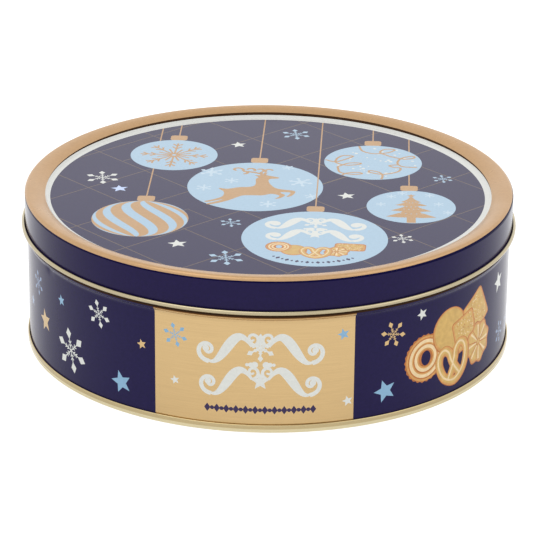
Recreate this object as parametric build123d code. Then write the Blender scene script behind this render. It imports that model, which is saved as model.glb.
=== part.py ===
from build123d import *
import os
from math import cos, radians, sin

# Round slip-lid tin of printed tinplate.
# Millimetres, +Z up, origin at the centre of the ring that the tin stands on.
# The front of the tin, where its label is printed, faces -Y.

# Sheet
SHEET = 0.22              # tinplate thickness
HALF = SHEET / 2          # from the middle of the sheet to either face
LAYER_GAP = 0.04          # air between the folded layers of the base seam
LAYER = SHEET + LAYER_GAP  # from the middle of one folded layer to the next

# Whole tin
TOTAL_HEIGHT = 63.0       # standing ring to the top of the closed lid
WALL_RADIUS = 96.7        # outer face of the body wall

# Lid
LID_CURL_RADIUS = 99.0    # widest part of the whole tin
LID_SKIRT_RADIUS = 97.5   # outer face of the skirt
LID_CURL_HEIGHT = 49.2    # centre of the curl along the skirt's lower edge
LID_CURL_WRAP = 285       # degrees that the edge is rolled through
LID_PANEL_RADIUS = 88.0   # flat recessed middle of the lid
LID_PANEL_BEND = 1.2
LID_CROWN_IN = 41         # slope of the raised rim at its inner side, degrees
LID_CROWN_OUT = 0         # slope of the raised rim where the shoulder starts
LID_SHOULDER = 1.5        # bend from the raised rim down into the skirt

# Body wall
STOP_BEAD_HEIGHT = 47.2   # crest of the bead that the lid comes down to
STOP_BEAD_FLANK = 3.0     # bend radius of the bead's flanks
STOP_BEAD_CREST = 1.1     # bend radius of its crest
STOP_BEAD_SLOPE = 45      # steepest slope of its flanks, degrees
RIM_TOP = 61.8            # top of the rolled mouth
RIM_BEND = 0.9            # the mouth's edge is rolled inwards at this radius
RIM_WRAP = 290

# Base and its double seam
SEAM_HEIGHT = 3.12        # standing ring to the top of the folded seam
SEAM_CORNER = 0.35        # bends either side of the flat standing ring
HOOK_FOLD_CLEARANCE = 0.08  # wall's fold above the base's standing ring
BODY_HOOK_TOP = 2.30      # free edge of the wall, folded outwards and up
BASE_HOOK_END = 1.00      # free edge of the base, folded inwards and down
BASE_PANEL_HEIGHT = 3.9   # middle of the sheet of the countersunk panel
BASE_WALL_BEND = 1.0
BASE_BEAD_RADII = (74.0, 83.0)  # where the two stiffening beads start
BASE_BEAD_BEND = 2.0
BASE_BEAD_SLOPE = 30

# Sealing compound in the top of the seam
COMPOUND_BOTTOM = BODY_HOOK_TOP + 0.03
COMPOUND_TOP = SEAM_HEIGHT - SHEET - 0.06

# Radii of the seam's layers at the middle of the sheet, from the inside out
WALL_MID = WALL_RADIUS - HALF
BASE_WALL_MID = WALL_MID - LAYER
BASE_HOOK_MID = WALL_MID + LAYER
BODY_HOOK_MID = WALL_MID + 2 * LAYER
SEAM_OUTSIDE_MID = WALL_MID + 3 * LAYER


class FormedSheet:
    """A ring of bent sheet. The middle of the sheet is drawn in radius and height,
    as straight runs and bends, and then turned about the vertical axis."""

    def __init__(self, radius, height, heading):
        self.at = Vector(radius, height)
        self.heading = heading
        self.left = []
        self.right = []

    def direction(self, turned=0):
        angle = radians(self.heading + turned)
        return Vector(cos(angle), sin(angle))

    def run(self, length):
        """Goes straight on. Positive offsets are to the left of the way it goes."""
        offset = self.direction(90) * HALF
        end = self.at + self.direction() * length
        self.left.append(Line(self.at + offset, end + offset))
        self.right.append(Line(self.at - offset, end - offset))
        self.at = end

    def to_radius(self, radius):
        self.run((radius - self.at.X) / self.direction().X)

    def to_height(self, height):
        self.run((height - self.at.Y) / self.direction().Y)

    def bend(self, bend_radius, turn):
        """Turns left through a positive angle, or right through a negative one."""
        side = 1 if turn > 0 else -1
        spoke = self.direction(-90 * side)
        centre = self.at - spoke * bend_radius
        half_way = spoke.rotate(Axis.Z, turn / 2)
        last = spoke.rotate(Axis.Z, turn)
        for edges, face_radius in (
            (self.left, bend_radius - side * HALF),
            (self.right, bend_radius + side * HALF),
        ):
            points = [centre + way * face_radius for way in (spoke, half_way, last)]
            edges.append(ThreePointArc(*points))
        self.at = centre + last * bend_radius
        self.heading += turn

    def solid(self):
        start_cap = Line(self.right[0] @ 0, self.left[0] @ 0)
        end_cap = Line(self.left[-1] @ 1, self.right[-1] @ 1)
        outline = Wire([start_cap, *self.left, end_cap, *self.right])
        return revolve(Plane.XZ * Face(outline), axis=Axis.Z)


def lid():
    """One drawn sheet: recessed flat panel, raised rim, shoulder, skirt and outward curl."""
    skirt_mid = LID_SKIRT_RADIUS - HALF
    shoulder_mid = LID_SHOULDER - HALF
    inner = radians(LID_CROWN_IN)
    outer = radians(LID_CROWN_OUT)
    crown_width = (
        skirt_mid
        - LID_PANEL_RADIUS
        - LID_PANEL_BEND * sin(inner)
        - shoulder_mid * (1 + sin(outer))
    )
    crown_radius = crown_width / (sin(inner) - sin(outer))
    rise = (
        LID_PANEL_BEND * (1 - cos(inner))
        + crown_radius * (cos(outer) - cos(inner))
        + shoulder_mid * (1 - cos(outer))
    )
    sheet = FormedSheet(0, TOTAL_HEIGHT - HALF - rise, 0)
    sheet.to_radius(LID_PANEL_RADIUS)
    sheet.bend(LID_PANEL_BEND, LID_CROWN_IN)
    sheet.bend(crown_radius, LID_CROWN_OUT - LID_CROWN_IN)
    sheet.bend(shoulder_mid, -90 - LID_CROWN_OUT)
    sheet.to_height(LID_CURL_HEIGHT)
    curl_mid = (LID_CURL_RADIUS - HALF - skirt_mid) / 2
    sheet.bend(curl_mid, LID_CURL_WRAP)
    return sheet.solid()


def body_wall():
    """Rolled sheet: body hook, straight wall, stop bead, neck and inward-rolled mouth."""
    fold_radius = LAYER
    fold_height = SHEET + HOOK_FOLD_CLEARANCE + HALF + fold_radius
    bead_half_height = (STOP_BEAD_FLANK + STOP_BEAD_CREST) * sin(radians(STOP_BEAD_SLOPE))
    sheet = FormedSheet(BODY_HOOK_MID, BODY_HOOK_TOP, -90)
    sheet.to_height(fold_height)
    sheet.bend(fold_radius, -180)
    sheet.to_height(STOP_BEAD_HEIGHT - bead_half_height)
    sheet.bend(STOP_BEAD_FLANK, -STOP_BEAD_SLOPE)
    sheet.bend(STOP_BEAD_CREST, 2 * STOP_BEAD_SLOPE)
    sheet.bend(STOP_BEAD_FLANK, -STOP_BEAD_SLOPE)
    sheet.to_height(RIM_TOP - HALF - RIM_BEND)
    sheet.bend(RIM_BEND, RIM_WRAP)
    return sheet.solid()


def base():
    """Countersunk round end: beaded panel, inner wall, standing ring and base hook."""
    fold_radius = (SEAM_OUTSIDE_MID - BASE_HOOK_MID) / 2
    sheet = FormedSheet(0, BASE_PANEL_HEIGHT, 0)
    for bead_radius in BASE_BEAD_RADII:
        sheet.to_radius(bead_radius)
        sheet.bend(BASE_BEAD_BEND, BASE_BEAD_SLOPE)
        sheet.bend(BASE_BEAD_BEND, -2 * BASE_BEAD_SLOPE)
        sheet.bend(BASE_BEAD_BEND, BASE_BEAD_SLOPE)
    sheet.to_radius(BASE_WALL_MID - BASE_WALL_BEND)
    sheet.bend(BASE_WALL_BEND, -90)
    sheet.to_height(HALF + SEAM_CORNER)
    sheet.bend(SEAM_CORNER, 90)
    sheet.to_radius(SEAM_OUTSIDE_MID - SEAM_CORNER)
    sheet.bend(SEAM_CORNER, 90)
    sheet.to_height(SEAM_HEIGHT - HALF - fold_radius)
    sheet.bend(fold_radius, 180)
    sheet.to_height(BASE_HOOK_END)
    return sheet.solid()


def seam_compound():
    """Cured sealing compound between the wall's hook and the top fold of the base."""
    corner = Vector(BODY_HOOK_MID - HALF, COMPOUND_BOTTOM)
    height = COMPOUND_TOP - COMPOUND_BOTTOM
    outline = Wire.make_polygon(
        [
            corner,
            corner + Vector(SHEET, 0),
            corner + Vector(SHEET, height),
            corner + Vector(0, height),
        ]
    )
    return revolve(Plane.XZ * Face(outline), axis=Axis.Z)


os.makedirs("parts", exist_ok=True)
for node, make in {
    "lid": lid,
    "body_wall": body_wall,
    "base": base,
    "seam_compound": seam_compound,
}.items():
    export_step(make(), f"parts/{node}.step")
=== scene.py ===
import math

import bmesh
import bpy
import numpy as np
from mathutils import Matrix, Vector, geometry


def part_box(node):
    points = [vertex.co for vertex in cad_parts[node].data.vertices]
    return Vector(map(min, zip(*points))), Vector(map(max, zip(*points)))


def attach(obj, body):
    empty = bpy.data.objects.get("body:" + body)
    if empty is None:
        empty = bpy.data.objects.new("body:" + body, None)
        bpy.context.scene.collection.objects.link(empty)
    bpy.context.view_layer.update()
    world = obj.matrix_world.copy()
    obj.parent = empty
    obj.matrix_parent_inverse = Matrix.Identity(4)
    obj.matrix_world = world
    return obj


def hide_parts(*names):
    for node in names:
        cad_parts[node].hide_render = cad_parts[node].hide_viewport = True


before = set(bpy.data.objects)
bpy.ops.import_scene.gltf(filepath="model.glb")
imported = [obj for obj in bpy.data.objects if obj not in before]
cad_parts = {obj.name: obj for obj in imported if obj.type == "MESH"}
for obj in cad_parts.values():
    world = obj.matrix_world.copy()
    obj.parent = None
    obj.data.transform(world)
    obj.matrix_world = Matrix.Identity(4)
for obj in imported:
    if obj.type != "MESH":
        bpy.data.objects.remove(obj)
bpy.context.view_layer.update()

MM = 0.001

# ---- sizes, in millimetres
# The outer radii and heights come from the CAD pieces' boxes, the sheets' other sizes from part.py.


def box_mm(node):
    """Half the width, the bottom and the top of a CAD node."""
    low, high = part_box(node)
    return round((high.x - low.x) / 2 / MM, 2), round(low.z / MM, 2), round(high.z / MM, 2)


SHEET = 0.22
HALF = SHEET / 2
LAYER = SHEET + 0.04  # from one folded layer of the seam to the next

CURL_RADIUS, LID_BOTTOM, TOTAL_HEIGHT = box_mm("lid")
CURL_PROUD = 1.5  # how far the curl stands out from the skirt
SKIRT_RADIUS = CURL_RADIUS - CURL_PROUD
PANEL_RADIUS = 88.0
PANEL_BEND = 1.2
CROWN_IN, CROWN_OUT = 41, 0  # slopes of the raised rim, degrees
SHOULDER = 1.5
CURL_WRAP = 285

BEAD_RADIUS, WALL_BOTTOM, RIM_TOP = box_mm("body_wall")
BEAD_PROUD = 1.2  # how far the bead stands out from the wall
WALL_RADIUS = BEAD_RADIUS - BEAD_PROUD
BEAD_FLANK, BEAD_CREST, BEAD_SLOPE = 3.0, 1.1, 45
BEAD_BELOW_LID = 1.14  # from the lid's curl down to the bead's crest
BEAD_HEIGHT = LID_BOTTOM - BEAD_BELOW_LID
RIM_BEND, RIM_WRAP = 0.9, 290
BODY_HOOK_TOP = 2.30

SEAM_RADIUS, BASE_BOTTOM, _ = box_mm("base")
SEAM_HEIGHT = 3.12
SEAM_CORNER = 0.35
BASE_HOOK_END = 1.00
BASE_PANEL = 3.9  # height of the base panel's middle
BASE_CORNER = 1.0
BASE_BEADS = (74.0, 83.0)
BASE_BEAD_BEND, BASE_BEAD_SLOPE = 2.0, 30

COLUMNS = 288  # facets round the tin

WELD_PROUD, WELD_HALF, WELD_EDGE = 0.12, 0.9, 0.3  # the lapped side weld
WELD_FOOT, WELD_BELOW_BEAD, WELD_FADE = 4, 6, 3  # where it starts, stops and fades
DENT_ANGLE, DENT_HEIGHT = -58, 45.2  # a small dent in the bead
DENT_DEPTH, DENT_SPREAD, DENT_REACH = 0.35, 1.6, 1.8  # millimetres, degrees, millimetres

# ---- print, in millimetres and degrees
LID_TURN = 0.6  # the lid's picture, round from the middle of the label
FIELD_RADIUS = 86.7  # the navy middle of the lid's print
PRINT_SHIFT = (-0.5, -1.3)  # it sits this far off the pressing's centre
LID_RINGS = (  # ink, radius and middle of each ring of print and painted shade, from the outside in
    # painted shadow: a dark ring where the shoulder turns down into the skirt
    ("edge", 99.35, 0.0, 0.0),
    ("copper", 98.05, -0.2, -0.6),
    # painted shade: a dark crescent at the back, in the crease between the copper and the white
    ("line", 89.35, -0.3, 1.8),
    ("white", 89.35, -0.3, 0.35),
    ("navy", FIELD_RADIUS, *PRINT_SHIFT),
)
LABEL_HALF = 22.75  # half the width of the gold label, degrees
PRINT_TOP = 4.5  # print ends this far past the bead's crest
PRINT_MARGIN = 2.6  # bare metal on either side of the side weld
PRINT_LAP = 1.0  # print ends this far into a straight run
PRINT_NECK = 3.0  # and on the wall this far past the bead
HIGHLIGHT_HEIGHT = 1.0  # painted highlight on the base seam's face up to this height, painted shade above it
SHADE_BAND_TOP = 1.6  # the painted shade band on the bead, under the lid's curl, ends this far past its crest
UMBER_SHADE_DROP = 0.35  # over the label the painted shade starts, in umber, this far before the crest
BISCUIT_HEIGHT = 23.0
PRINT_FLOOR, PRINT_CEILING = 6.5, 41.0  # stars and snowflakes keep between these heights

# ---- camera, floor and light
CAMERA_TURN = (3.13, 22.56, 0.54)  # azimuth, elevation and roll, degrees
CAMERA_AIM = (-0.74, 0.0, 27.22)  # millimetres
CAMERA_DISTANCE = 1090.1  # millimetres
CAMERA_LENS = 181.8
FLOOR_HALF, FLOOR_GREY, FLOOR_GLOW = 4.0, 0.5, 0.60
TENT_SIDES, TENT_TOP = 1.42, 1.2  # brightness of the tent, low down and overhead
LAMPS = (  # name, place and size in metres, power
    ("key", (-0.5, -0.5, 1.6), 1.2, 6.0),
    ("fill", (0.9, -0.3, 1.0), 0.9, 2.0),
)
LAMP_TARGET = (0, 0, 0.03)


class Profile:
    """Middle of a formed sheet in radius and height, as straight runs and bends.
    A place on it is given by its developed length from the start."""

    def __init__(self, radius, height, heading):
        self.parts = []
        self.at = np.array([radius, height], float)
        self.heading = math.radians(heading)
        self.length = 0.0

    def go(self, length, curvature):
        self.parts.append((self.length, *self.at, self.heading, curvature))
        self.length += length
        radius, height, self.heading = (v[0] for v in self.where(np.array([self.length])))
        self.at = np.array([radius, height])

    def to_radius(self, radius):
        self.go((radius - self.at[0]) / math.cos(self.heading), 0.0)

    def to_height(self, height):
        self.go((height - self.at[1]) / math.sin(self.heading), 0.0)

    def bend(self, bend_radius, turn):
        self.go(bend_radius * math.radians(abs(turn)), math.copysign(1 / bend_radius, turn))

    def where(self, lengths):
        """Radius, height and heading at each developed length."""
        table = np.array(self.parts)
        row = np.clip(np.searchsorted(table[:, 0], lengths, "right") - 1, 0, len(table) - 1)
        start, radius, height, heading, curvature = table[row].T
        run = lengths - start
        turned = heading + curvature * run
        bent = np.abs(curvature) > 1e-9
        safe = np.where(bent, curvature, 1.0)
        across = np.where(bent, (np.sin(turned) - np.sin(heading)) / safe, run * np.cos(heading))
        up = np.where(bent, (np.cos(heading) - np.cos(turned)) / safe, run * np.sin(heading))
        return radius + across, height + up, turned

    def stations(self, first, last, turn_step, run_step):
        """Developed lengths from first to last: close together in bends, far apart in runs."""
        ends = [p[0] for p in self.parts[1:]] + [self.length]
        found = [first]
        for (start, *_, curvature), end in zip(self.parts, ends):
            low, high = max(start, first), min(end, last)
            if high - low < 1e-6:
                continue
            turn = abs(curvature) * (high - low)
            count = max(math.ceil(turn / math.radians(turn_step)), math.ceil((high - low) / run_step))
            found.extend(np.linspace(low, high, count + 1)[1:])
        return np.array(found)


def lid_profile():
    skirt_mid, shoulder_mid = SKIRT_RADIUS - HALF, SHOULDER - HALF
    inner, outer = math.radians(CROWN_IN), math.radians(CROWN_OUT)
    width = skirt_mid - PANEL_RADIUS - PANEL_BEND * math.sin(inner)
    width -= shoulder_mid * (1 + math.sin(outer))
    crown = width / (math.sin(inner) - math.sin(outer))
    rise = PANEL_BEND * (1 - math.cos(inner)) + crown * (math.cos(outer) - math.cos(inner))
    rise += shoulder_mid * (1 - math.cos(outer))
    curl_mid = (CURL_RADIUS - HALF - skirt_mid) / 2
    sheet = Profile(0, TOTAL_HEIGHT - HALF - rise, 0)
    sheet.to_radius(PANEL_RADIUS)
    sheet.bend(PANEL_BEND, CROWN_IN)
    sheet.bend(crown, CROWN_OUT - CROWN_IN)
    sheet.bend(shoulder_mid, -90 - CROWN_OUT)
    sheet.to_height(LID_BOTTOM + HALF + curl_mid)
    sheet.bend(curl_mid, CURL_WRAP)
    return sheet


def wall_profile():
    bead_half = (BEAD_FLANK + BEAD_CREST) * math.sin(math.radians(BEAD_SLOPE))
    sheet = Profile(WALL_RADIUS - HALF + 2 * LAYER, BODY_HOOK_TOP, -90)
    sheet.to_height(WALL_BOTTOM + HALF + LAYER)
    sheet.bend(LAYER, -180)
    sheet.to_height(BEAD_HEIGHT - bead_half)
    sheet.bend(BEAD_FLANK, -BEAD_SLOPE)
    sheet.bend(BEAD_CREST, 2 * BEAD_SLOPE)
    sheet.bend(BEAD_FLANK, -BEAD_SLOPE)
    sheet.to_height(RIM_TOP - HALF - RIM_BEND)
    sheet.bend(RIM_BEND, RIM_WRAP)
    return sheet


def base_profile():
    outside_mid = SEAM_RADIUS - HALF
    sheet = Profile(0, BASE_PANEL, 0)
    for bead in BASE_BEADS:
        sheet.to_radius(bead)
        sheet.bend(BASE_BEAD_BEND, BASE_BEAD_SLOPE)
        sheet.bend(BASE_BEAD_BEND, -2 * BASE_BEAD_SLOPE)
        sheet.bend(BASE_BEAD_BEND, BASE_BEAD_SLOPE)
    sheet.to_radius(outside_mid - 4 * LAYER - BASE_CORNER)
    sheet.bend(BASE_CORNER, -90)
    sheet.to_height(BASE_BOTTOM + HALF + SEAM_CORNER)
    sheet.bend(SEAM_CORNER, 90)
    sheet.to_radius(outside_mid - SEAM_CORNER)
    sheet.bend(SEAM_CORNER, 90)
    sheet.to_height(SEAM_HEIGHT - HALF - LAYER)
    sheet.bend(LAYER, 180)
    sheet.to_height(BASE_HOOK_END)
    return sheet


# ---- sheets as meshes


class DiscSheet:
    """A sheet laid flat as a disc: a flat place (x, y) is polar, its distance from the
    middle being the developed length along the profile."""

    open_ends = 0

    def __init__(self, profile):
        self.profile = profile

    def place(self, flat, side):
        offset = side * HALF
        length = np.hypot(flat[:, 0], flat[:, 1])
        radius, height, heading = self.profile.where(length)
        radius = radius - offset * np.sin(heading)
        height = height + offset * np.cos(heading)
        share = radius / np.maximum(length, 1e-9)
        middle = length < 1e-6
        x = np.where(middle, 0.0, flat[:, 0] * share)
        y = np.where(middle, 0.0, flat[:, 1] * share)
        return np.stack([x, y, height], 1)

    def row(self, length):
        """Flat places round one ring, clockwise from above."""
        angles = -np.arange(COLUMNS) * 2 * math.pi / COLUMNS
        return np.stack([length * np.cos(angles), length * np.sin(angles)], 1)


class StripSheet:
    """A sheet laid flat as a strip: x runs round the wall from the front, y is the
    developed length along the profile."""

    open_ends = 1

    def __init__(self, profile, reference_radius, relief):
        self.profile = profile
        self.reference = reference_radius
        self.relief = relief

    def place(self, flat, side):
        offset = -side * HALF
        angle = flat[:, 0] / self.reference
        radius, height, heading = self.profile.where(flat[:, 1])
        radius = radius - offset * np.sin(heading) + self.relief(angle, height, side)
        height = height + offset * np.cos(heading)
        return np.stack([radius * np.sin(angle), -radius * np.cos(angle), height], 1)

    def row(self, length):
        """Flat places along one height, from the weld round the front to the weld."""
        x = np.linspace(-1, 1, COLUMNS + 1) * math.pi * self.reference
        return np.stack([x, np.full(COLUMNS + 1, length)], 1)

    def outline(self, lengths):
        """The border of the strip between the first and the last of these lengths."""
        low, high = self.row(lengths[0]), self.row(lengths[-1])
        right = [(low[-1, 0], length) for length in lengths[1:-1]]
        left = [(low[0, 0], length) for length in lengths[-2:0:-1]]
        return np.vstack([low, right, high[::-1], left])


def facing(sheet, flat, side):
    """Unit normals of one face of the sheet, by differences."""
    step = 0.02
    along = sheet.place(flat + [step, 0], side) - sheet.place(flat - [step, 0], side)
    across = sheet.place(flat + [0, step], side) - sheet.place(flat - [0, step], side)
    normal = np.cross(along, across) * side
    return normal / np.maximum(np.linalg.norm(normal, axis=1, keepdims=True), 1e-12)


class SheetMesh:
    """Collects the faces of a sheet, welds them and makes one Blender mesh.
    Side 1 is the face the print is on, or the base's upper face, and side -1 is the other."""

    def __init__(self, sheet, inks):
        self.sheet = sheet
        self.inks = list(inks)
        self.points = []
        self.normals = []
        self.faces = []
        self.slots = []
        self.count = 0

    def add(self, flat, side, faces, names):
        flat = np.asarray(flat, float)
        self.points.append(self.sheet.place(flat, side))
        self.normals.append(facing(self.sheet, flat, side))
        for face in faces:
            turned = face if side > 0 else face[::-1]
            self.faces.append([i + self.count for i in turned])
        self.slots.extend(self.inks.index(name) for name in names)
        self.count += len(flat)

    def rows(self, lengths, side, ink):
        """Quads between rows at these lengths. ink is one name, or one for each length."""
        names = [ink] * len(lengths) if isinstance(ink, str) else ink
        flat = np.vstack([self.sheet.row(length) for length in lengths])
        width = len(flat) // len(lengths)
        faces, painted = [], []
        for r in range(len(lengths) - 1):
            for c in range(width - self.sheet.open_ends):
                d = (c + 1) % width
                below, above = r * width, (r + 1) * width
                faces.append([below + c, below + d, above + d, above + c])
                painted.append(names[r])
        self.add(flat, side, faces, painted)

    def edge(self, length, at_end, ink):
        """The cut edge of the sheet, between its two faces."""
        row = self.sheet.row(length)
        width = len(row)
        first = self.count
        self.add(row, 1, [], [])
        self.add(row, -1, [], [])
        for c in range(width - self.sheet.open_ends):
            d = (c + 1) % width
            quad = [first + c, first + d, first + width + d, first + width + c]
            self.faces.append(quad if at_end else quad[::-1])
            self.slots.append(self.inks.index(ink))

    def printed(self, shapes, lengths):
        """Cuts the shapes, painted in order, into side 1, with the rows at these lengths."""
        corners, loops = [], []
        for ink, outline in shapes:
            start = len(corners)
            corners.extend(outline)
            order = list(range(start, start + len(outline)))
            loops.append(order if signed_area(outline) > 0 else order[::-1])
        edges = []
        below = None
        for length in lengths:
            row = self.sheet.row(length)
            start, width = len(corners), len(row)
            corners.extend(row)
            spans = range(width - self.sheet.open_ends)
            edges += [(start + c, start + (c + 1) % width) for c in spans]
            if self.sheet.open_ends and below is not None:
                edges += [(below + c, start + c) for c in range(width)]
            below = start
        points = [Vector(corner) for corner in corners]
        made = geometry.delaunay_2d_cdt(points, edges, loops, 1, 1e-4, True)
        flat = np.array([tuple(v) for v in made[0]])
        owned = zip(made[2], made[5])
        kept = [(list(face), shapes[max(ids)][0]) for face, ids in owned if ids]
        self.add(flat, 1, [face for face, _ in kept], [ink for _, ink in kept])

    def build(self, name, materials):
        mesh = bpy.data.meshes.new(name)
        mesh.from_pydata(np.vstack(self.points) * MM, [], self.faces)
        normal = mesh.attributes.new("facing", "FLOAT_VECTOR", "POINT")
        normal.data.foreach_set("vector", np.vstack(self.normals).astype(np.float32).ravel())
        mesh.polygons.foreach_set("material_index", self.slots)
        for ink in self.inks:
            mesh.materials.append(materials[ink])
        weld(mesh)
        kept = np.zeros(len(mesh.vertices) * 3, np.float32)
        mesh.attributes["facing"].data.foreach_get("vector", kept)
        mesh.attributes.remove(mesh.attributes["facing"])
        mesh.polygons.foreach_set("use_smooth", [True] * len(mesh.polygons))
        mesh.normals_split_custom_set_from_vertices(kept.reshape(-1, 3))
        return linked(name, mesh)


def linked(name, data):
    """A new object in the scene."""
    made = bpy.data.objects.new(name, data)
    bpy.context.scene.collection.objects.link(made)
    return made


def weld(mesh):
    """Joins the corners that meet, and drops faces with no area."""
    work = bmesh.new()
    work.from_mesh(mesh)
    bmesh.ops.remove_doubles(work, verts=work.verts, dist=0.002 * MM)
    bmesh.ops.dissolve_degenerate(work, edges=work.edges, dist=0.0005 * MM)
    work.to_mesh(mesh)
    work.free()


def signed_area(outline):
    """Area, positive when it runs anticlockwise."""
    points = np.asarray(outline, float)
    following = np.roll(points, -1, axis=0)
    return float(np.sum(points[:, 0] * following[:, 1] - following[:, 0] * points[:, 1])) / 2


# ---- drawing the print
# A shape is (ink, outline). Later shapes are printed over earlier ones.

SMALLEST_AREA = 1e-3  # parts of a line smaller than this are left out


def moved(shapes, x=0.0, y=0.0, turn=0.0, size=1.0):
    """The shapes scaled, turned anticlockwise by degrees, then moved."""
    c, s = math.cos(math.radians(turn)), math.sin(math.radians(turn))
    spin = np.array([[c, s], [-s, c]]) * size
    return [(ink, np.asarray(outline) @ spin + [x, y]) for ink, outline in shapes]


def mirrored(shapes):
    return [(ink, np.asarray(outline) * [-1, 1]) for ink, outline in shapes]


def disc(radius, x=0.0, y=0.0, steps=64, squash=1.0):
    angles = np.arange(steps) * 2 * math.pi / steps
    return np.stack([x + radius * np.cos(angles), y + squash * radius * np.sin(angles)], 1)


def rounded_box(width, height, corner, steps=5):
    points = []
    for k, (sx, sy) in enumerate(((1, 1), (-1, 1), (-1, -1), (1, -1))):
        for a in np.linspace(0, 90, steps):
            angle = math.radians(90 * k + a)
            x = sx * (width / 2 - corner) + corner * math.cos(angle)
            y = sy * (height / 2 - corner) + corner * math.sin(angle)
            points.append((x, y))
    return np.array(points)


def curve(p, steps):
    """Points on a smooth curve from the second of p to the last but one (Catmull-Rom)."""
    out = []
    for i in range(1, len(p) - 2):
        a, b, c, d = p[i - 1 : i + 3]
        for t in np.arange(steps) / steps:
            bend = (2 * a - 5 * b + 4 * c - d) * t * t
            out.append(0.5 * (2 * b + (c - a) * t + bend + (3 * b - a - 3 * c + d) * t**3))
    return out


def smooth(points, steps):
    """A closed curve through the points."""
    p = np.asarray(points, float)
    return np.array(curve(np.vstack([p[-1:], p, p[:2]]), steps))


def smooth_open(points, steps):
    """An open curve through the points."""
    p = np.asarray(points, float)
    p = np.vstack([2 * p[0] - p[1], p, 2 * p[-1] - p[-2]])
    return np.array(curve(p, steps) + [p[-2]])


def stroke(ink, path, widths):
    """A line of changing width along an open path, as one quad for each step."""
    path = np.asarray(path, float)
    widths = np.broadcast_to(np.asarray(widths, float), len(path))
    along = np.gradient(path, axis=0)
    along /= np.maximum(np.linalg.norm(along, axis=1, keepdims=True), 1e-9)
    out = np.stack([-along[:, 1], along[:, 0]], 1) * widths[:, None] / 2
    return ribbon(ink, path + out, path - out)


def ribbon(ink, left, right):
    """The band between two lines: a quad for each step, or two triangles where it twists."""
    shapes = []
    for i in range(len(left) - 1):
        quad = np.array([right[i], right[i + 1], left[i + 1], left[i]])
        halves = [quad[[0, 1, 2]], quad[[0, 2, 3]], quad[[1, 2, 3]], quad[[3, 0, 1]]]
        turns = [signed_area(half) > 0 for half in halves]
        whole = all(turns) or not any(turns)
        parts = [quad] if whole else halves[:2]
        shapes += [(ink, part) for part in parts if abs(signed_area(part)) > SMALLEST_AREA]
    return shapes


def star(ink, size, turn=0.0, waist=0.45):
    angles = np.radians(90 + turn + np.arange(10) * 36)
    reach = np.where(np.arange(10) % 2 == 0, size, size * waist)
    return [(ink, np.stack([reach * np.cos(angles), reach * np.sin(angles)], 1))]


def snowflake(ink, size, turn=0.0, stem=0.045):
    """Six arms, each with a diamond tip and two pairs of barbs."""
    arm = [(ink, size * np.array([(0.50, 0), (0.76, -0.18), (1.0, 0), (0.76, 0.18)]))]
    arm += stroke(ink, size * np.array([(0.0, 0), (0.56, 0)]), size * stem)
    for root, reach in ((0.17, 0.10), (0.32, 0.10)):
        for side in (-1, 1):
            path = size * np.array([(root, 0), (root + reach, side * reach)])
            arm += stroke(ink, path, size * stem)
    shapes = []
    for k in range(6):
        shapes += moved(arm, turn=90 + turn + 60 * k)
    return shapes


def spiral(x, y, size, start, turns, steps, way):
    """Points of a spiral that winds in to its middle."""
    t = np.linspace(0, 1, steps)
    reach = size * np.exp(-t * turns / 0.16 * 0.22)
    angle = math.radians(start) + way * t * turns * 2 * math.pi
    return np.stack([x + reach * np.cos(angle), y + reach * np.sin(angle)], 1)


def bauble(radius, string_to, cap, picture):
    """A hanging ball with its cap and string. string_to is the string's top above the middle,
    and cap is how far to the right of the middle the cap sits."""
    shapes = stroke("copper_line", [(cap, radius), (cap, string_to)], 0.55)
    shapes += moved([("copper", rounded_box(7.0, 5.8, 1.3))], x=cap, y=radius + 2.8)
    shapes += [("sky", disc(radius, steps=96))]
    return shapes + picture


def snow_dots(seed, radius, count):
    """Small dots of snow, spread over a ball."""
    chance = np.random.default_rng(seed)
    shapes = []
    for _ in range(count):
        angle = chance.uniform(0, 2 * math.pi)
        reach = radius * math.sqrt(chance.uniform(0.02, 0.8))
        spot = disc(chance.uniform(0.35, 0.8), steps=10)
        shapes += moved([("snow", spot)], reach * math.cos(angle), reach * math.sin(angle))
    return shapes


def twisted_stripes(radius, bands=5, lean=82.0):
    """Stripes round a ball, twisted, as seen from the side."""
    height = np.radians(np.linspace(-89, 89, 31))
    shapes = []
    for band in range(-1, bands + 2):
        edges = []
        for share in (-0.30, 0.25):
            meridian = -90 + (band + share) * 180 / bands - lean * 0.5 * np.sin(height)
            swing = np.radians(np.clip(meridian, -90, 90))
            x = radius * np.cos(height) * np.sin(swing)
            edges.append(np.stack([x, radius * np.sin(height)], 1))
        shapes += ribbon("copper", *edges)
    return shapes


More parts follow.
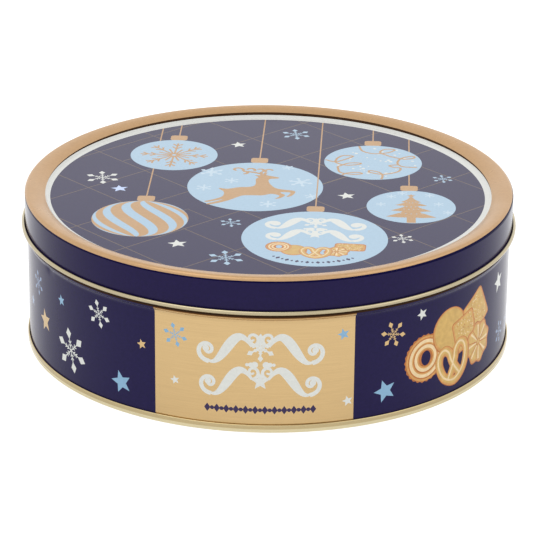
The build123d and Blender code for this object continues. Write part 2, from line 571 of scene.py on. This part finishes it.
def deer():
    """A leaping deer, facing right, about two units long."""
    rump_to_chin = [
        (-0.66, -0.34), (-0.77, -0.15), (-0.58, -0.18), (-0.34, -0.07), (-0.11, -0.03), (-0.01, 0.08),
        (0.00, 0.28), (-0.01, 0.44), (0.04, 0.56), (-0.04, 0.67), (0.10, 0.68), (0.18, 0.71),
        (0.28, 0.66), (0.47, 0.58), (0.47, 0.51), (0.30, 0.47), (0.27, 0.34), (0.33, 0.12),
    ]
    forelegs = [
        (0.45, -0.08), (0.62, -0.15), (0.82, -0.20), (0.87, -0.30), (0.79, -0.52), (0.69, -0.57),
        (0.74, -0.45), (0.76, -0.32), (0.62, -0.30), (0.55, -0.34), (0.66, -0.48), (0.56, -0.66),
        (0.45, -0.70), (0.53, -0.58), (0.52, -0.49), (0.36, -0.42),
    ]
    belly_to_hind = [
        (0.18, -0.52), (-0.06, -0.53), (-0.24, -0.56), (-0.38, -0.70), (-0.52, -0.86), (-0.72, -1.02),
        (-0.90, -1.12), (-0.97, -1.08), (-0.78, -0.94), (-0.64, -0.80), (-0.78, -0.88), (-0.95, -0.98),
        (-1.02, -0.94), (-0.84, -0.82), (-0.68, -0.66), (-0.64, -0.50),
    ]
    shapes = [("copper", smooth(rump_to_chin + forelegs + belly_to_hind, 4))]
    for x, y, size, start, turns, way in (
        (-0.44, 1.00, 0.15, -30, 1.3, 1), (-0.28, 0.80, 0.09, 60, 1.2, -1),
        (-0.16, 1.01, 0.12, -40, 1.2, 1), (0.05, 1.00, 0.11, -60, 1.2, 1),
        (0.27, 0.98, 0.12, -130, 1.2, -1),
    ):
        path = spiral(x, y, size, start, turns, steps=22, way=way)
        shapes += stroke("copper_line", path, np.linspace(0.07, 0.04, 22))
    for path in (
        [(0.12, 0.66), (0.09, 0.76), (-0.04, 0.84), (-0.18, 0.88), (-0.31, 0.90)],
        [(0.17, 0.66), (0.17, 0.78), (0.20, 0.86)],
        [(0.09, 0.76), (0.09, 0.84), (0.08, 0.88)],
    ):
        shapes += stroke("copper_line", path, 0.07)
    return shapes


def fir_tree(height):
    """Four tiers with hollow edges, a trunk, a star and rows of small lights."""
    trunk = [(-0.075, -0.74), (0.075, -0.74), (0.075, -0.4), (-0.075, -0.4)]
    tiers = ((0.48, 0.2, 0.17), (0.34, 0.05, 0.27), (0.18, -0.2, 0.34), (0.0, -0.48, 0.42))
    shapes = [("copper", height * np.array(trunk))]
    for top, low, reach in tiers:
        side = [(reach * 0.42, low * 0.6 + top * 0.4), (reach, low), (reach * 0.45, low - 0.035)]
        edge = [(0, top)] + side + [(0, low - 0.02)] + [(-x, y) for x, y in side[::-1]]
        shapes.append(("copper", height * np.array(edge)))
    shapes += moved(star("copper", height * 0.075), y=height * 0.5)
    strings = ((0.16, 0.08), (-0.02, 0.15), (-0.14, 0.2), (-0.34, 0.27))
    for row, (y, reach) in enumerate(strings):
        for x in np.linspace(-reach, reach, 4 + row):
            sag = 0.05 * (x / reach) ** 2
            light = disc(height * 0.013, height * x, height * (y + sag), steps=7)
            shapes.append(("sky", light))
    return shapes


def scroll_pair(ink, width, height, weight):
    """The left half of a flourish: an S with a curl at each end."""
    t = np.linspace(0, 1, 30)
    rise = height * (0.34 * np.sin(t * math.pi * 1.5 + 0.3))
    sweep = np.stack([-width * (0.12 + 0.62 * t), rise], 1)
    swell = weight * (0.35 + 0.9 * np.sin(math.pi * t) ** 1.5)
    shapes = stroke(ink, sweep, swell)
    far = sweep[-1]
    size = height * 0.30
    path = spiral(far[0] - size * 0.1, far[1] + size * 0.95, size, -84, 1.35, steps=44, way=-1)
    shapes += stroke(ink, path, weight * np.linspace(0.6, 0.3, 44))
    shapes += [(ink, disc(weight * 0.42, *path[-1], steps=14))]
    near = sweep[0]
    size = height * 0.20
    path = spiral(near[0], near[1] + size, size, -90, 1.2, steps=36, way=1)
    shapes += stroke(ink, path, weight * np.linspace(0.45, 0.25, 36))
    return shapes


def flourish(ink, width, height, weight):
    """Two tiers of scrollwork on either side of a snowflake."""
    half = scroll_pair(ink, width, height * 0.55, weight)
    upper = moved(half, y=height * 0.22)
    lower = moved(half, y=-height * 0.24, size=0.96)
    shapes = upper + mirrored(upper) + lower + mirrored(lower)
    shapes += moved(snowflake(ink, height * 0.2, stem=0.12), y=height * 0.26)
    shapes += moved(star(ink, height * 0.12), y=-height * 0.22)
    for k in (-1, 1):
        for n in range(3):
            x = k * width * (0.08 + 0.055 * n)
            spot = disc(weight * (0.42 - 0.1 * n), x, height * 0.02, steps=14)
            shapes.append((ink, spot))
    return shapes


def beaded_line(ink, length, size, count):
    """A row of small diamonds and dots."""
    shapes = []
    for k, x in enumerate(np.linspace(-length / 2, length / 2, count)):
        if k % 2:
            shapes.append((ink, disc(size * 0.28, x, 0, steps=12)))
        else:
            wide, tall = size * 0.42, size * 0.6
            diamond = [(x - wide, 0), (x, -tall), (x + wide, 0), (x, tall)]
            shapes.append((ink, diamond))
    return shapes


def ring_biscuit(radius, behind="night"):
    """A piped ring. behind is the ink seen through its hole."""
    shapes = [("crust", wavy(radius, 26, 0.025))]
    outer = ((0.95, "baked"), (0.86, "crust"), (0.81, "pale"), (0.67, "baked"), (0.61, "crust"))
    for share, ink in outer:
        shapes.append((ink, disc(radius * share, radius * 0.02, -radius * 0.01, steps=48)))
    for share, ink in ((0.57, "pale"), (0.43, "baked"), (0.36, "crust")):
        shapes.append((ink, disc(radius * share, radius * 0.03, 0, steps=40)))
    return shapes + [(behind, disc(radius * 0.24, radius * 0.04, 0, steps=28, squash=1.3))]


def wavy(radius, waves, depth, steps=4):
    angles = np.arange(waves * steps) * 2 * math.pi / (waves * steps)
    reach = radius * (1 + depth * np.cos(waves * angles))
    return np.stack([reach * np.cos(angles), reach * np.sin(angles)], 1)


def round_biscuit(radius):
    layers = ((1.0, "crust"), (0.955, "baked"), (0.87, "golden"))
    return [(ink, disc(radius * r, 0, radius * (1 - r) * 0.4, steps=56)) for r, ink in layers]


def sugared_biscuit(width, height, seed):
    layers = ((0.0, "crust"), (0.7, "baked"), (2.2, "golden"))
    shapes = [(ink, rounded_box(width - cut, height - cut, 1.6)) for cut, ink in layers]
    return shapes + sugar(seed, width * 0.42, height * 0.42, 90)


def sugar(seed, half_width, half_height, count):
    """Grains of sugar, some of them in shade."""
    chance = np.random.default_rng(seed)
    shapes = []
    for _ in range(count):
        x = chance.uniform(-half_width, half_width)
        y = chance.uniform(-half_height, half_height)
        grain = disc(chance.uniform(0.14, 0.34), x, y, steps=5)
        shapes.append((chance.choice(["pale", "crust", "pale"]), grain))
    return shapes


def flower_biscuit(radius, petals=8):
    layers = ((1.0, "crust"), (0.94, "baked"), (0.84, "golden"))
    shapes = [(ink, wavy(radius * share, petals, 0.07, 8)) for share, ink in layers]
    for k in range(petals):
        angle = (k + 0.5) * 2 * math.pi / petals
        tip = np.array([math.cos(angle), math.sin(angle)]) * radius
        shapes += stroke("crust", [tip * 0.1, tip * 0.86], [0.5, 0.25])
        turned = angle + 0.22
        tip = np.array([math.cos(turned), math.sin(turned)]) * radius
        shapes += stroke("pale", [tip * 0.2, tip * 0.84], [0.5, 1.0])
    return shapes


def pretzel(radius):
    """A rope of dough that crosses itself, with three gaps."""
    half = [
        (0.42, -0.74), (0.10, -0.24), (-0.10, 0.18), (-0.22, 0.58), (-0.50, 0.80), (-0.82, 0.62),
        (-0.90, 0.12), (-0.62, -0.52), (0.0, -0.84),
    ]
    rope = smooth_open(radius * np.array(half + [(-x, y) for x, y in half[-2::-1]]), 5)
    shapes = []
    layers = (("crust", 0.48, 0), ("baked", 0.42, 0.01), ("golden", 0.26, 0.03), ("pale", 0.09, 0.06))
    for ink, width, lift in layers:
        shapes += stroke(ink, rope + [-lift * radius, lift * radius], radius * width)
    return shapes


# ---- the lid's picture


def lattice(radius):
    """Thin gilt lines at 45 degrees, a square lattice with a few stepped corners."""
    pitch, first = 41.7, 11.5
    shapes = []
    for k in range(-3, 3):
        level = first + pitch * k
        half_chord = math.sqrt(max(radius**2 - level**2 / 2, 0.0)) - 0.1
        for slant in (1, -1):
            middle = np.array([level / 2, slant * level / 2])
            way = np.array([1, -slant]) * half_chord / math.sqrt(2)
            shapes += stroke("gilt", [middle - way, middle + way], 0.42)
    corner = stroke("gilt", [(-10.4, -10.4), (0, 0), (10.4, -10.4)], 0.42)
    for x, y in ((-30.5, -20.8), (-50.5, 42.0), (32.0, 21.0)):
        shapes += moved(corner, x, y)
    return moved(shapes, *PRINT_SHIFT)


def snowflake_ball(radius):
    """A thin eight-armed flake, with short arms between the long ones."""
    picture = []
    for k in range(16):
        long = k % 2 == 0
        reach = 0.78 if long else 0.40
        arm = stroke("copper_line", radius * np.array([(0.05, 0), (reach, 0)]), radius * 0.045)
        for root in (0.42, 0.60) if long else ():
            for side in (-1, 1):
                barb = radius * np.array([(root, 0), (root + 0.13, side * 0.11)])
                arm += stroke("copper_line", barb, radius * 0.045)
        picture += moved(arm, turn=22.5 * k - 3)
    return picture


def deer_ball(radius):
    picture = []
    for x, y, size, turn in (
        (-0.68, 0.56, 0.19, 0), (-0.36, 0.22, 0.12, 0), (-0.75, -0.1, 0.13, 0), (0.22, -0.7, 0.14, 0),
        (0.66, 0.22, 0.19, 15), (0.84, -0.35, 0.11, 15), (0.45, 0.82, 0.1, 15),
    ):
        flake = snowflake("frost", radius * size, turn, stem=0.16)
        picture += moved(flake, radius * x, radius * y)
    return picture + moved(deer(), size=0.69 * radius)


def ribbon_ball(radius):
    picture = snow_dots(11, radius, 34)
    swings = (
        [(-0.98, 0.1), (-0.8, -0.02), (-0.7, 0.02), (-0.5, 0.22), (-0.42, 0.34), (-0.62, 0.36),
         (-0.74, 0.2)],
        [(-0.74, 0.2), (-0.76, -0.05), (-0.55, -0.2), (-0.3, -0.14), (-0.26, -0.06), (-0.5, -0.08),
         (-0.72, -0.3)],
        [(-0.72, -0.3), (-0.66, -0.62), (-0.42, -0.72), (-0.22, -0.68), (-0.3, -0.6),
         (-0.52, -0.66), (-0.62, -0.78)],
        [(-0.3, 0.95), (-0.22, 0.66), (0.02, 0.52), (0.3, 0.6), (0.44, 0.78), (0.24, 0.8),
         (0.14, 0.6), (0.34, 0.38)],
        [(0.34, 0.38), (0.62, 0.24), (0.84, 0.32), (0.8, 0.42), (0.58, 0.28), (0.5, 0.0),
         (0.6, -0.2), (0.9, -0.24)],
        [(0.54, -0.1), (0.34, -0.16), (0.42, -0.26), (0.56, -0.3), (0.5, -0.52), (0.2, -0.68),
         (-0.08, -0.58)],
        [(-0.08, -0.58), (-0.06, -0.48), (0.12, -0.56), (0.2, -0.74), (0.18, -0.96)],
    )
    for path in swings:
        picture += stroke("copper_line", smooth_open(radius * np.array(path), 7), 0.95)
    return picture


def tree_ball(radius):
    picture = []
    flake = snowflake("frost", radius * 0.13, stem=0.16)
    for x, y in ((-0.45, 0.62), (0.42, 0.74), (0.62, 0.2), (-0.68, 0.12), (0.82, -0.3), (-0.2, 0.84)):
        picture += moved(flake, radius * x, radius * y)
    return picture + moved(fir_tree(radius * 1.34), y=0.02 * radius)


def biscuit_ball(radius):
    picture = moved(flourish("snow", radius * 0.74, radius * 0.92, radius * 0.12), y=radius * 0.32)
    row = (
        (0.49, -0.29, sugared_biscuit(12.0, 7.4, 5), -3),
        (-0.27, -0.44, round_biscuit(5.2), 0),
        (0.31, -0.46, flower_biscuit(4.7), 10),
        (-0.48, -0.33, ring_biscuit(5.0, "sky"), 0),
        (0.03, -0.51, pretzel(5.6), 0),
    )
    for x, y, shapes, turn in row:
        picture += moved(shapes, radius * x, radius * y, turn)
    for k, angle in enumerate(np.linspace(-128, -52, 17)):
        size = 1.25 if k % 2 else 0.8
        mark = [("ink", size * np.array([(-0.7, 0), (0, -1), (0.7, 0), (0, 1)]))]
        away, reach = np.radians(angle), 0.86 * radius
        picture += moved(mark, reach * math.cos(away), reach * math.sin(away), angle + 90)
    return picture


def lid_picture():
    hung = (  # place, radius, how far off the cap sits, what is drawn on it
        (-48.8, -33.4, 18.9, 0.5, twisted_stripes),
        (56.8, -13.6, 17.6, -0.8, tree_ball),
        (-41.2, 38.9, 18.0, 0.5, snowflake_ball),
        (41.2, 35.8, 20.1, -0.3, ribbon_ball),
        (-5.8, 4.7, 27.3, 0.3, deer_ball),
        (19.8, -49.5, 28.1, -0.6, biscuit_ball),
    )
    shapes = lattice(FIELD_RADIUS)
    for x, y, size, ink in (
        (-15.3, 53.1, 3.4, "snow"), (-32.2, -58.4, 3.9, "snow"), (31.1, -3.3, 3.7, "snow"),
        (-59.9, -1.4, 3.6, "lilac"),
    ):
        shapes += moved(star(ink, size, 12), x, y)
    for x, y, size, ink in (
        (-68.0, 10.6, 7.2, "snow"), (53.4, -47.5, 4.6, "snow"), (8.3, 67.6, 6.3, "sky"),
        (-13.2, -35.4, 4.5, "sky"), (-12.9, -71.3, 7.2, "sky"), (69.6, 18.5, 4.4, "sky"),
    ):
        shapes += moved(snowflake(ink, size, 8), x, y)
    for x, y, radius, cap, picture in hung:
        off_x, off_y = x + cap - PRINT_SHIFT[0], PRINT_SHIFT[1]
        string_to = math.sqrt(FIELD_RADIUS**2 - off_x**2) + off_y - y
        shapes += moved(bauble(radius, string_to, cap, picture(radius)), x, y)
    return shapes


# ---- the wall's picture


def round_wall(angle):
    """Distance round the wall from the middle of the label, for an angle in degrees."""
    return math.radians(angle) * WALL_RADIUS


def scatter(seed, first, last, count):
    """Stars and snowflakes for a stretch of wall, kept apart from each other."""
    chance = np.random.default_rng(seed)
    placed, shapes = [], []
    while len(placed) < count:
        angle = chance.uniform(first, last)
        height = chance.uniform(PRINT_FLOOR, PRINT_CEILING)
        x = round_wall(angle)
        size = chance.choice([2.4, 4.8, 5.8, 8.5])
        if min(height - size - PRINT_FLOOR, PRINT_CEILING - height - size) < 0:
            continue
        if any(math.hypot(x - a, height - b) < size + s + 4.0 for a, b, s in placed):
            continue
        placed.append((x, height, size))
        ink = str(chance.choice(["snow", "blue", "gold", "ghost"]))
        tilt = chance.uniform(-25, 25)
        mark = star if size < 5 else snowflake
        shapes += moved(mark(ink, size, tilt), x, height)
    return shapes


def biscuit_heap(angle):
    """A ring, a round, two sugared, a flower and a pretzel, placed from the heap's middle."""
    heap = (
        (-15.4, -1.3, ring_biscuit(9.8), 0),
        (-2.2, 6.4, round_biscuit(9.6), 0),
        (15.2, 8.6, sugared_biscuit(15.0, 16.0, 3), 30),
        (7.2, 3.2, sugared_biscuit(14.0, 14.5, 4), 16),
        (17.5, -5.0, flower_biscuit(8.8), 14),
        (0.6, -8.0, pretzel(8.9), 8),
    )
    shapes = []
    for x, y, picture, turn in heap:
        shapes += moved(picture, round_wall(angle) + x, BISCUIT_HEIGHT + y, turn)
    return shapes


def wall_picture():
    label = round_wall(LABEL_HALF)
    shapes = [("gold", [(-label, -3), (label, -3), (label, 60), (-label, 60)])]
    shapes += moved(flourish("snow", 26.3, 29.0, 3.1), x=2.6, y=27.1)
    shapes += moved(beaded_line("ink", 40.0, 2.9, 23), x=2.6, y=9.1)
    for angle, height, size, turn, ink in (
        (-17.8, 36.9, 5.0, 14, "blue"), (-48.5, 16.3, 9.2, 13, "snow"),
        (-38.4, 37.2, 5.8, 13, "snow"), (-65.5, 34.2, 5.2, 10, "ghost"),
        (32.3, 35.3, 5.5, 18, "gold"), (74.3, 13.5, 5.0, 10, "ghost"),
    ):
        shapes += moved(snowflake(ink, size, turn), round_wall(angle), height)
    for angle, height, size, turn, ink in (
        (-52.3, 35.1, 2.4, 12, "blue"), (-61.1, 21.0, 4.9, 12, "gold"),
        (-31.9, 12.1, 4.8, 17, "blue"), (-26.2, 30.2, 2.1, 15, "gold"),
        (-71.1, 23.0, 2.6, 0, "ghost"), (-17.9, 18.4, 1.9, 14, "snow"),
        (20.1, 38.7, 2.45, 14, "blue"), (21.3, 11.1, 2.2, 14, "snow"),
        (40.1, 40.5, 2.5, 20, "snow"), (30.5, 12.5, 4.8, 17, "blue"), (71.9, 36.4, 4.6, 12, "snow"),
    ):
        shapes += moved(star(ink, size, turn), round_wall(angle), height)
    shapes += biscuit_heap(50.5) + biscuit_heap(-118)
    for seed, first, last, count in ((21, 82, 172, 20), (22, -98, -76, 4), (23, -172, -140, 8)):
        shapes += scatter(seed, first, last, count)
    return shapes


# ---- materials

GLOSSY, SOFT, SATIN, MATT = (0.10, 0.17), (0.14, 0.22), (0.26, 0.36), (0.5, 0.7)  # roughness
EVEN = (1, 1, 1)
BRUSHED = (2, 2, 90)  # stretches the mottle into fine lines
LACQUER = (0.05, SOFT, 1.0, 1.25, 70, BRUSHED)  # all but its name and colour


def noise(tree, coords, scale, detail, stretch=EVEN):
    mapping = tree.nodes.new("ShaderNodeMapping")
    mapping.inputs["Scale"].default_value = stretch
    tree.links.new(coords, mapping.inputs["Vector"])
    node = tree.nodes.new("ShaderNodeTexNoise")
    node.inputs["Scale"].default_value = scale
    node.inputs["Detail"].default_value = detail
    tree.links.new(mapping.outputs["Vector"], node.inputs["Vector"])
    return node.outputs["Fac"]


def ramp(tree, factor, dark, light, low=0.3, high=0.7):
    node = tree.nodes.new("ShaderNodeValToRGB")
    node.color_ramp.elements[0].position = low
    node.color_ramp.elements[0].color = (*dark, 1)
    node.color_ramp.elements[1].position = high
    node.color_ramp.elements[1].color = (*light, 1)
    tree.links.new(factor, node.inputs["Fac"])
    return node.outputs["Color"]


def spread(tree, factor, low, high):
    """A value from low to high over the middle of the noise."""
    node = tree.nodes.new("ShaderNodeMapRange")
    node.inputs["From Min"].default_value = 0.3
    node.inputs["From Max"].default_value = 0.7
    node.inputs["To Min"].default_value = low
    node.inputs["To Max"].default_value = high
    tree.links.new(factor, node.inputs["Value"])
    return node.outputs["Result"]


def finish(name, colour, vary, rough, metal=0.0, ior=1.25, grain=900, stretch=EVEN, relief=0.02):
    """A varnished ink or lacquer: mottled colour, uneven gloss and a slight orange peel."""
    material = bpy.data.materials.new(name)
    material.use_nodes = True
    tree = material.node_tree
    shader = tree.nodes["Principled BSDF"]
    coords = tree.nodes.new("ShaderNodeTexCoord").outputs["Object"]
    mottle = noise(tree, coords, grain, 3, stretch)
    dark = [c * (1 - vary) for c in colour]
    light = [min(c * (1 + vary), 1.0) for c in colour]
    tree.links.new(ramp(tree, mottle, dark, light), shader.inputs["Base Color"])
    sheen = noise(tree, coords, 60, 2)
    tree.links.new(spread(tree, sheen, *rough), shader.inputs["Roughness"])
    peel = noise(tree, coords, 420, 2)
    bump = tree.nodes.new("ShaderNodeBump")
    bump.inputs["Strength"].default_value = relief
    bump.inputs["Distance"].default_value = 0.0001
    tree.links.new(peel, bump.inputs["Height"])
    tree.links.new(bump.outputs["Normal"], shader.inputs["Normal"])
    shader.inputs["Metallic"].default_value = metal
    shader.inputs["IOR"].default_value = ior
    return material


FINISHES = {  # material, colour, mottle, roughness, metal, refraction, grain, stretch, relief
    "navy": ("navy_varnish", (0.011, 0.0075, 0.044), 0.10, GLOSSY),
    # painted shade: a darker copy of the navy for the upright wall
    "night": ("night_varnish", (0.0095, 0.0065, 0.040), 0.10, GLOSSY, 0.0, 1.20),
    # painted shade: a darker copy of the navy for the lid's upright skirt
    "skirt": ("skirt_varnish", (0.0085, 0.005, 0.037), 0.10, GLOSSY, 0.0, 1.195),
    # painted shade: the dark crescent in the lid's crease and the dark band on the bead under the
    # lid's curl
    "line": ("dark_line", (0.030, 0.014, 0.006), 0.10, GLOSSY, 0.0, 1.1),
    # painted shade: the umber band over the label, under the lid's curl
    "umber": ("umber_line", (0.16, 0.07, 0.02), 0.10, GLOSSY, 0.0, 1.1),
    "white": ("white_ink", (0.465, 0.47, 0.45), 0.03, GLOSSY),
    "copper": ("copper_ink", (0.395, 0.245, 0.125), 0.05, SATIN, 0.6),
    "copper_line": ("copper_line_ink", (0.385, 0.238, 0.125), 0.05, SATIN, 0.6),
    "gilt": ("gilt_line_ink", (0.10, 0.07, 0.055), 0.12, SOFT),
    "sky": ("sky_ink", (0.272, 0.38, 0.475), 0.03, GLOSSY),
    "frost": ("frost_ink", (0.37, 0.46, 0.53), 0.03, GLOSSY),
    "snow": ("snow_ink", (0.49, 0.50, 0.475), 0.03, GLOSSY),
    "lilac": ("lilac_ink", (0.38, 0.46, 0.66), 0.04, GLOSSY),
    "blue": ("blue_ink", (0.175, 0.305, 0.43), 0.04, GLOSSY),
    "ghost": ("faint_ink", (0.14, 0.20, 0.32), 0.05, GLOSSY),
    "ink": ("dark_ink", (0.03, 0.02, 0.06), 0.10, GLOSSY),
    "gold": ("label_gold", (0.505, 0.353, 0.173), 0.04, SOFT, 1.0, 1.25, 40, BRUSHED),
    "lacquer": ("gold_lacquer", (0.53, 0.46, 0.29), *LACQUER),
    # painted shade: a darker copy of the lacquer on the base seam's face
    "seam_shade": ("burnished_lacquer", (0.43, 0.345, 0.19), *LACQUER),
    # painted shade: a darker copy of the lacquer for the lid's curl
    "curl": ("curl_lacquer", (0.38, 0.325, 0.21), *LACQUER),
    # painted highlight: a lighter copy of the lacquer on the base seam's bottom corner
    "seam_highlight": ("worn_lacquer", (0.58, 0.51, 0.33), *LACQUER),
    # painted shadow: the dark ring at the lid's shoulder
    "edge": ("edge_varnish", (0.003, 0.002, 0.025), 0.10, GLOSSY, 0.0, 1.08),
    "crust": ("biscuit_edge", (0.33, 0.115, 0.03), 0.14, GLOSSY, 0.0, 1.25, 700),
    "baked": ("biscuit_brown", (0.43, 0.22, 0.07), 0.12, GLOSSY, 0.0, 1.25, 500),
    "golden": ("biscuit_golden", (0.425, 0.275, 0.088), 0.10, GLOSSY, 0.0, 1.25, 500),
    "pale": ("biscuit_pale", (0.56, 0.43, 0.25), 0.08, GLOSSY, 0.0, 1.25, 700),
    "compound": ("lining_compound", (0.45, 0.44, 0.42), 0.10, MATT, 0.0, 1.5, 900, EVEN, 0.4),
}
INKS = [ink for ink in FINISHES if ink != "compound"]


# ---- the tin's three sheets


def place_piece(mesh, name, node, body, materials):
    """Builds the piece, hangs it on the body it moves with and hides the CAD solid it replaces."""
    piece = mesh.build(name, materials)
    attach(piece, body)
    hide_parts(node)
    return piece


def lid_shapes(sheet, edge_of_print):
    """The lid's print, from the outside in, then the picture."""
    # the skirt ink is the navy darkened as painted shade
    shapes = [("skirt", sheet.row(edge_of_print))]
    for ink, radius, x, y in LID_RINGS:
        shapes.append((ink, disc(radius, x, y, steps=COLUMNS)))
    return shapes + moved(lid_picture(), turn=LID_TURN)


def make_lid(materials):
    profile = lid_profile()
    mesh = SheetMesh(DiscSheet(profile), INKS)
    curl_start, skirt_start = profile.parts[-1][0], profile.parts[-2][0]
    edge_of_print = skirt_start + PRINT_LAP
    stations = profile.stations(PANEL_RADIUS - 0.2, edge_of_print, 6, 2.0)[:-1]
    mesh.printed(lid_shapes(mesh.sheet, edge_of_print), stations)
    # the skirt, in the navy darkened as painted shade
    mesh.rows(profile.stations(edge_of_print, curl_start, 8, 3.0), 1, "skirt")
    mesh.rows(profile.stations(curl_start, profile.length, 15, 1.0), 1, "lacquer")
    mesh.edge(profile.length, True, "lacquer")
    back = profile.stations(0.0, profile.length, 15, 12.0)
    # The curl rolls outwards, so what shows of it is the sheet's back, in a darker copy of the lacquer
    # as painted shade.
    rolled = ["curl" if at > curl_start - 0.01 else "lacquer" for at in back]
    mesh.rows(back, -1, rolled)
    return place_piece(mesh, "lid_sheet", "lid", "lid", materials)


def wall_relief(angle, height, side):
    """The lapped side weld, proud on the outside, and a small dent in the bead."""
    from_weld = (math.pi - np.abs(angle)) * WALL_RADIUS
    lap = WELD_PROUD * np.clip((WELD_HALF - from_weld) / WELD_EDGE, 0, 1)
    lap = lap * np.clip((BEAD_HEIGHT - WELD_BELOW_BEAD - height) / WELD_FADE, 0, 1)
    lap = np.where(side > 0, lap * np.clip((height - WELD_FOOT) / WELD_FADE, 0, 1), 0)
    away = ((np.degrees(angle) - DENT_ANGLE) / DENT_SPREAD) ** 2
    away = away + ((height - DENT_HEIGHT) / DENT_REACH) ** 2
    return lap - DENT_DEPTH * np.exp(-away)


def wall_shapes(profile, sheet, stations):
    """The wall's print: the bare sheet, the ink, the picture, then a painted shade band on the bead.
    """
    start = stations[0]
    rise = start - profile.where(np.array([start]))[1][0]
    side = sheet.row(0.0)[-1, 0] - PRINT_MARGIN
    low, top = start + 0.05, profile.parts[5][0] + PRINT_TOP
    printed = [(-side, low), (side, low), (side, top), (-side, top)]
    # the wall's ink is the navy darkened as painted shade
    shapes = [("lacquer", sheet.outline(stations)), ("night", printed)]
    picture = moved(wall_picture(), y=rise)
    shapes += [(ink, clipped(outline, low, top)) for ink, outline in picture]
    crest = (profile.parts[4][0] + profile.parts[5][0]) / 2
    label = round_wall(LABEL_HALF)
    end = crest + SHADE_BAND_TOP
    # painted shade under the lid's curl: an umber band over the label, then a dark band all round
    for ink, begin, half in (("umber", crest - UMBER_SHADE_DROP, label), ("line", crest, side)):
        band = [(-half, begin), (half, begin), (half, end), (-half, end)]
        shapes.append((ink, band))
    return shapes


def make_wall(materials):
    profile = wall_profile()
    fold_end, neck = profile.parts[2][0], profile.parts[6][0]
    mesh = SheetMesh(StripSheet(profile, WALL_RADIUS, wall_relief), INKS)
    print_start, print_end = fold_end + PRINT_LAP, neck + PRINT_NECK
    stations = profile.stations(print_start, print_end, 7, 3.0)
    mesh.printed(wall_shapes(profile, mesh.sheet, stations), stations)
    mesh.edge(0.0, False, "lacquer")
    mesh.rows(profile.stations(0.0, print_start, 20, 3.0), 1, "lacquer")
    mesh.rows(profile.stations(print_end, profile.length, 15, 4.0), 1, "lacquer")
    mesh.edge(profile.length, True, "lacquer")
    mesh.rows(profile.stations(0.0, profile.length, 15, 8.0), -1, "lacquer")
    return place_piece(mesh, "wall_sheet", "body_wall", "tin", materials)


def clipped(outline, low, high):
    """The outline with its corners kept between two heights of the blank."""
    points = np.asarray(outline, float).copy()
    points[:, 1] = np.clip(points[:, 1], low, high)
    return points


def make_base(materials):
    profile = base_profile()
    mesh = SheetMesh(DiscSheet(profile), ["lacquer", "seam_shade", "seam_highlight"])
    lengths = profile.stations(0.0, profile.length, 12, 15.0)
    seam_highlight, seam_shade_start = profile.parts[-4][0], profile.parts[-3][0] + HIGHLIGHT_HEIGHT
    lengths = np.union1d(lengths, [seam_shade_start])
    # Painted highlight on the seam's bottom corner, and painted shade on its face above that.
    names = ["seam_shade" if at >= seam_shade_start else "seam_highlight" if at >= seam_highlight else "lacquer" for at in lengths]
    mesh.rows(lengths, 1, "lacquer")
    mesh.edge(profile.length, True, "lacquer")
    mesh.rows(lengths, -1, names)
    return place_piece(mesh, "base_sheet", "base", "tin", materials)


def finish_compound(materials):
    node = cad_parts["seam_compound"]
    node.data.materials.clear()
    node.data.materials.append(materials["compound"])


# ---- stage


def make_floor():
    """A wide white floor that glows a little, like a light table."""
    mesh = bpy.data.meshes.new("floor")
    work = bmesh.new()
    bmesh.ops.create_grid(work, x_segments=2, y_segments=2, size=FLOOR_HALF)
    work.to_mesh(mesh)
    work.free()
    floor = linked("floor", mesh)
    material = bpy.data.materials.new("paper")
    material.use_nodes = True
    shader = material.node_tree.nodes["Principled BSDF"]
    shader.inputs["Base Color"].default_value = (FLOOR_GREY, FLOOR_GREY, FLOOR_GREY, 1)
    shader.inputs["Roughness"].default_value = 0.9
    shader.inputs["Emission Color"].default_value = (1, 1, 1, 1)
    shader.inputs["Emission Strength"].default_value = FLOOR_GLOW
    mesh.materials.append(material)


def make_lights():
    world = bpy.data.worlds.new("tent")
    world.use_nodes = True
    tree = world.node_tree
    direction = tree.nodes.new("ShaderNodeTexCoord").outputs["Generated"]
    split = tree.nodes.new("ShaderNodeSeparateXYZ")
    tree.links.new(direction, split.inputs["Vector"])
    tent = ramp(tree, split.outputs["Z"], (TENT_SIDES,) * 3, (TENT_TOP,) * 3, 0.55, 0.95)
    tree.links.new(tent, tree.nodes["Background"].inputs["Color"])
    bpy.context.scene.world = world
    for name, place, size, power in LAMPS:
        light = bpy.data.lights.new(name, "AREA")
        light.size = size
        light.energy = power
        lamp = linked(name, light)
        lamp.location = place
        towards = Vector(LAMP_TARGET) - Vector(place)
        lamp.rotation_euler = towards.to_track_quat("-Z", "Y").to_euler()


def make_camera():
    azimuth, elevation, roll = (math.radians(angle) for angle in CAMERA_TURN)
    aim = Vector(CAMERA_AIM) * MM
    level = math.cos(elevation)
    away = Vector((math.sin(azimuth) * level, -math.cos(azimuth) * level, math.sin(elevation)))
    data = bpy.data.cameras.new("camera")
    data.lens = CAMERA_LENS
    data.sensor_width = 36
    data.clip_start = 0.01
    camera = linked("camera", data)
    turn = (-away).to_track_quat("-Z", "Y").to_matrix() @ Matrix.Rotation(roll, 3, "Z")
    camera.matrix_world = Matrix.Translation(aim + away * CAMERA_DISTANCE * MM) @ turn.to_4x4()
    bpy.context.scene.camera = camera


materials = {key: finish(*row) for key, row in FINISHES.items()}
make_lid(materials)
make_wall(materials)
make_base(materials)
finish_compound(materials)
make_floor()
make_lights()
make_camera()
bpy.context.scene.view_settings.view_transform = "Standard"

bpy.context.view_layer.update()
